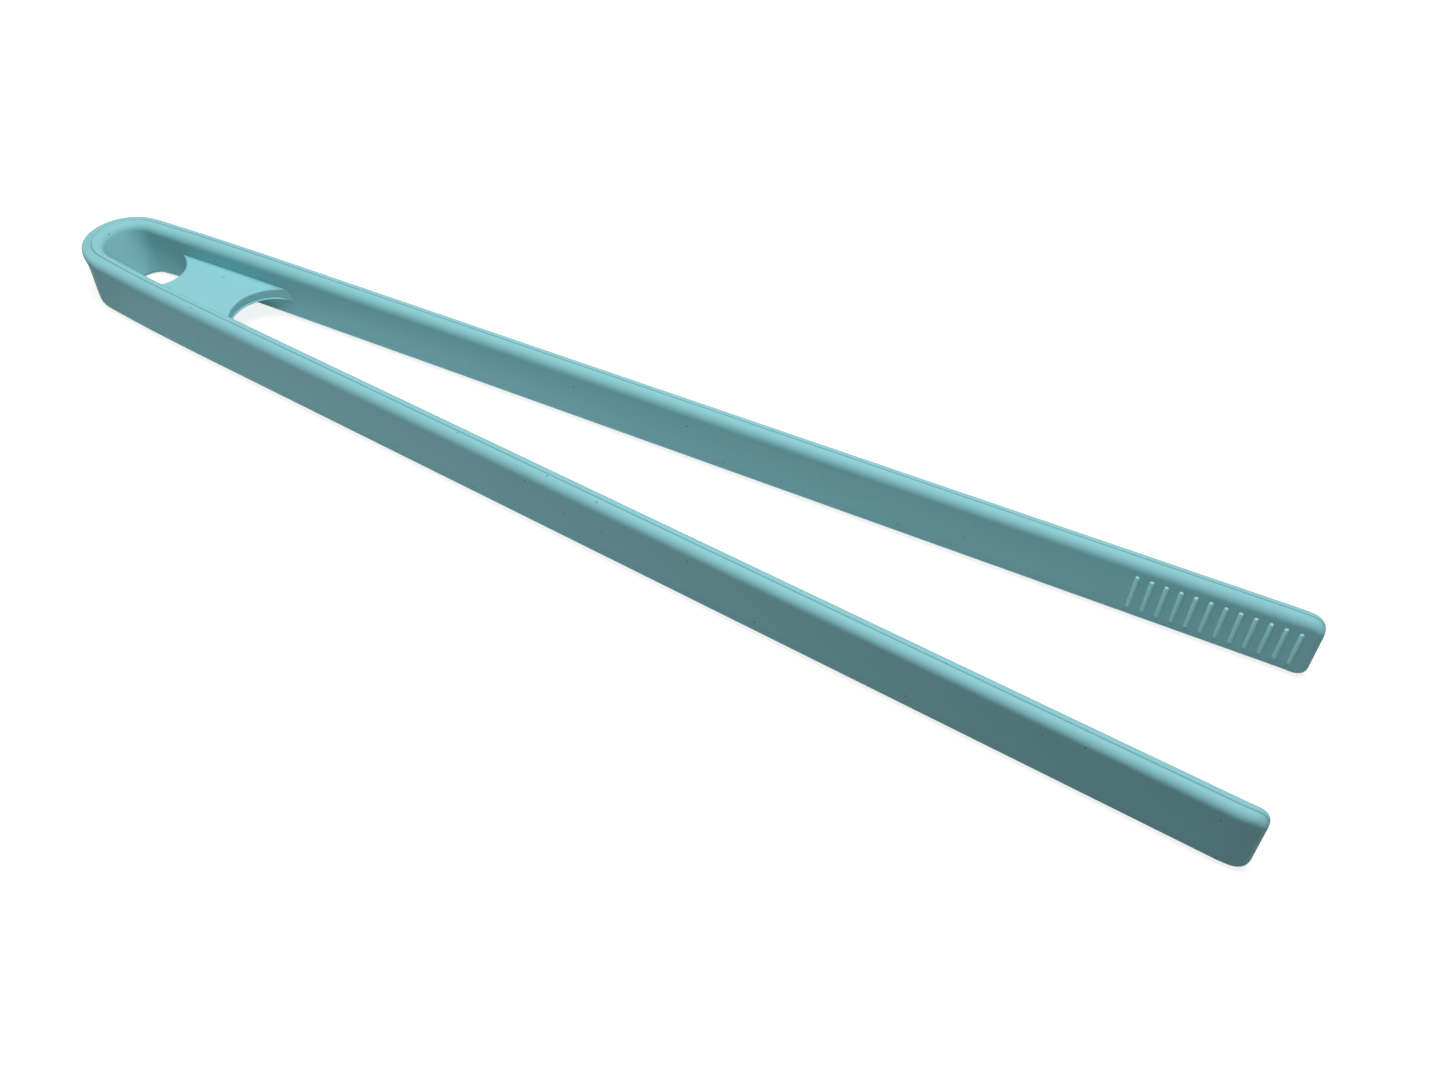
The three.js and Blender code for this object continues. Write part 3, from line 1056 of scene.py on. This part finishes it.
def make_light(scene, settings):
    lamp = bpy.data.lights.new("overhead", "AREA")
    lamp.shape = "DISK"
    lamp.size = settings.overhead_size
    lamp.energy = settings.overhead_power
    holder = bpy.data.objects.new("overhead", lamp)
    place = Vector(settings.overhead_place)
    holder.location = place
    holder.rotation_mode = "QUATERNION"
    holder.rotation_quaternion = (-place).to_track_quat("-Z", "Y")
    scene.collection.objects.link(holder)

    finish = Nodes(bpy.data.worlds.new("room"))
    room, seen = (
        finish.node("ShaderNodeBackground", None, {"Color": (1, 1, 1, 1), "Strength": strength})
        for strength in (settings.room_light, 1)
    )
    scene.world = finish.surface(finish.mix_shaders(finish.looking(), room, seen), "World")


def make_camera(scene, settings):
    lens = bpy.data.cameras.new("camera")
    lens.lens = settings.camera_lens
    lens.sensor_width = SENSOR_WIDTH
    lens.shift_x, lens.shift_y = settings.camera_shift
    lens.clip_start = NEAREST
    camera = bpy.data.objects.new("camera", lens)
    place, target = Vector(settings.camera_place), Vector(settings.camera_target)
    aim = (target - place).to_track_quat("-Z", "Y")
    camera.location = place
    camera.rotation_mode = "QUATERNION"
    camera.rotation_quaternion = aim @ Quaternion((0, 0, 1), settings.camera_roll)
    scene.collection.objects.link(camera)
    scene.camera = camera


# ---- Operators -----------------------------------------------------------------------------


def wear(obj, material):
    obj.data.materials.clear()
    obj.data.materials.append(material)


def finish_cover(cover, settings):
    """Gives a cover the silicone that all the covers share."""
    keep_rest_position(cover.data)
    wear(cover, bpy.data.materials.get(SILICONE) or silicone(settings))


class TONGS_OT_bow(bpy.types.Operator):
    """Makes the bow's silicone cover with the web and the hanging hole"""

    bl_idname = "tongs.bow"
    bl_label = "Bow cover"

    def execute(self, context):
        scene = context.scene
        cover = make_bow_cover(scene.tongs_shape)
        finish_cover(cover, scene.tongs_finish)
        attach(cover, BOW)
        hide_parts("bow_cover")
        return {"FINISHED"}


class TONGS_OT_arms(bpy.types.Operator):
    """Makes the arms' silicone covers"""

    bl_idname = "tongs.arms"
    bl_label = "Arm covers"

    def execute(self, context):
        scene = context.scene
        for body, side in ((LEFT_ARM, 1), (RIGHT_ARM, -1)):
            cover = make_arm_cover(scene.tongs_shape, f"{body}_silicone", side)
            finish_cover(cover, scene.tongs_finish)
            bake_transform(cover)
            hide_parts(f"{body}_cover")
        return {"FINISHED"}


class TONGS_OT_spring_frame(bpy.types.Operator):
    """Gives the spring frame inside the covers its nylon"""

    bl_idname = "tongs.spring_frame"
    bl_label = "Spring frame"

    def execute(self, context):
        material = nylon(context.scene.tongs_finish)
        for name in ("bow_core", "left_arm_core", "right_arm_core"):
            wear(frame["nodes"][name], material)
        return {"FINISHED"}


class TONGS_OT_studio(bpy.types.Operator):
    """Makes the floor, the light and the camera"""

    bl_idname = "tongs.studio"
    bl_label = "Studio"

    def execute(self, context):
        settings = context.scene.tongs_studio
        make_floor()
        make_light(context.scene, settings)
        make_camera(context.scene, settings)
        context.scene.view_settings.view_transform = "Standard"
        return {"FINISHED"}


# ---- Add-on --------------------------------------------------------------------------------

OPERATORS = (TONGS_OT_bow, TONGS_OT_arms, TONGS_OT_spring_frame, TONGS_OT_studio)


class TONGS_PT_panel(bpy.types.Panel):
    """Lists the parts of the tongs in the sidebar"""

    bl_idname = "TONGS_PT_panel"
    bl_label = "Spring Tongs"
    bl_space_type = "VIEW_3D"
    bl_region_type = "UI"
    bl_category = "Tongs"

    def draw(self, context):
        for operator in OPERATORS:
            self.layout.operator(operator.bl_idname)
        for settings in ("tongs_shape", "tongs_finish", "tongs_studio"):
            group = getattr(context.scene, settings)
            box = self.layout.box()
            for key in group.__annotations__:
                box.prop(group, key)


GROUPS = {"tongs_shape": TongsShape, "tongs_finish": TongsFinish, "tongs_studio": TongsStudio}
CLASSES = (*GROUPS.values(), *OPERATORS, TONGS_PT_panel)


def register():
    for cls in CLASSES:
        bpy.utils.register_class(cls)
    for name, group in GROUPS.items():
        setattr(bpy.types.Scene, name, PointerProperty(type=group))


def unregister():
    for name in GROUPS:
        delattr(bpy.types.Scene, name)
    for cls in reversed(CLASSES):
        bpy.utils.unregister_class(cls)


def main():
    register()
    bpy.ops.tongs.bow()
    bpy.ops.tongs.arms()
    bpy.ops.tongs.spring_frame()
    bpy.ops.tongs.studio()


if __name__ == "__main__":
    main()
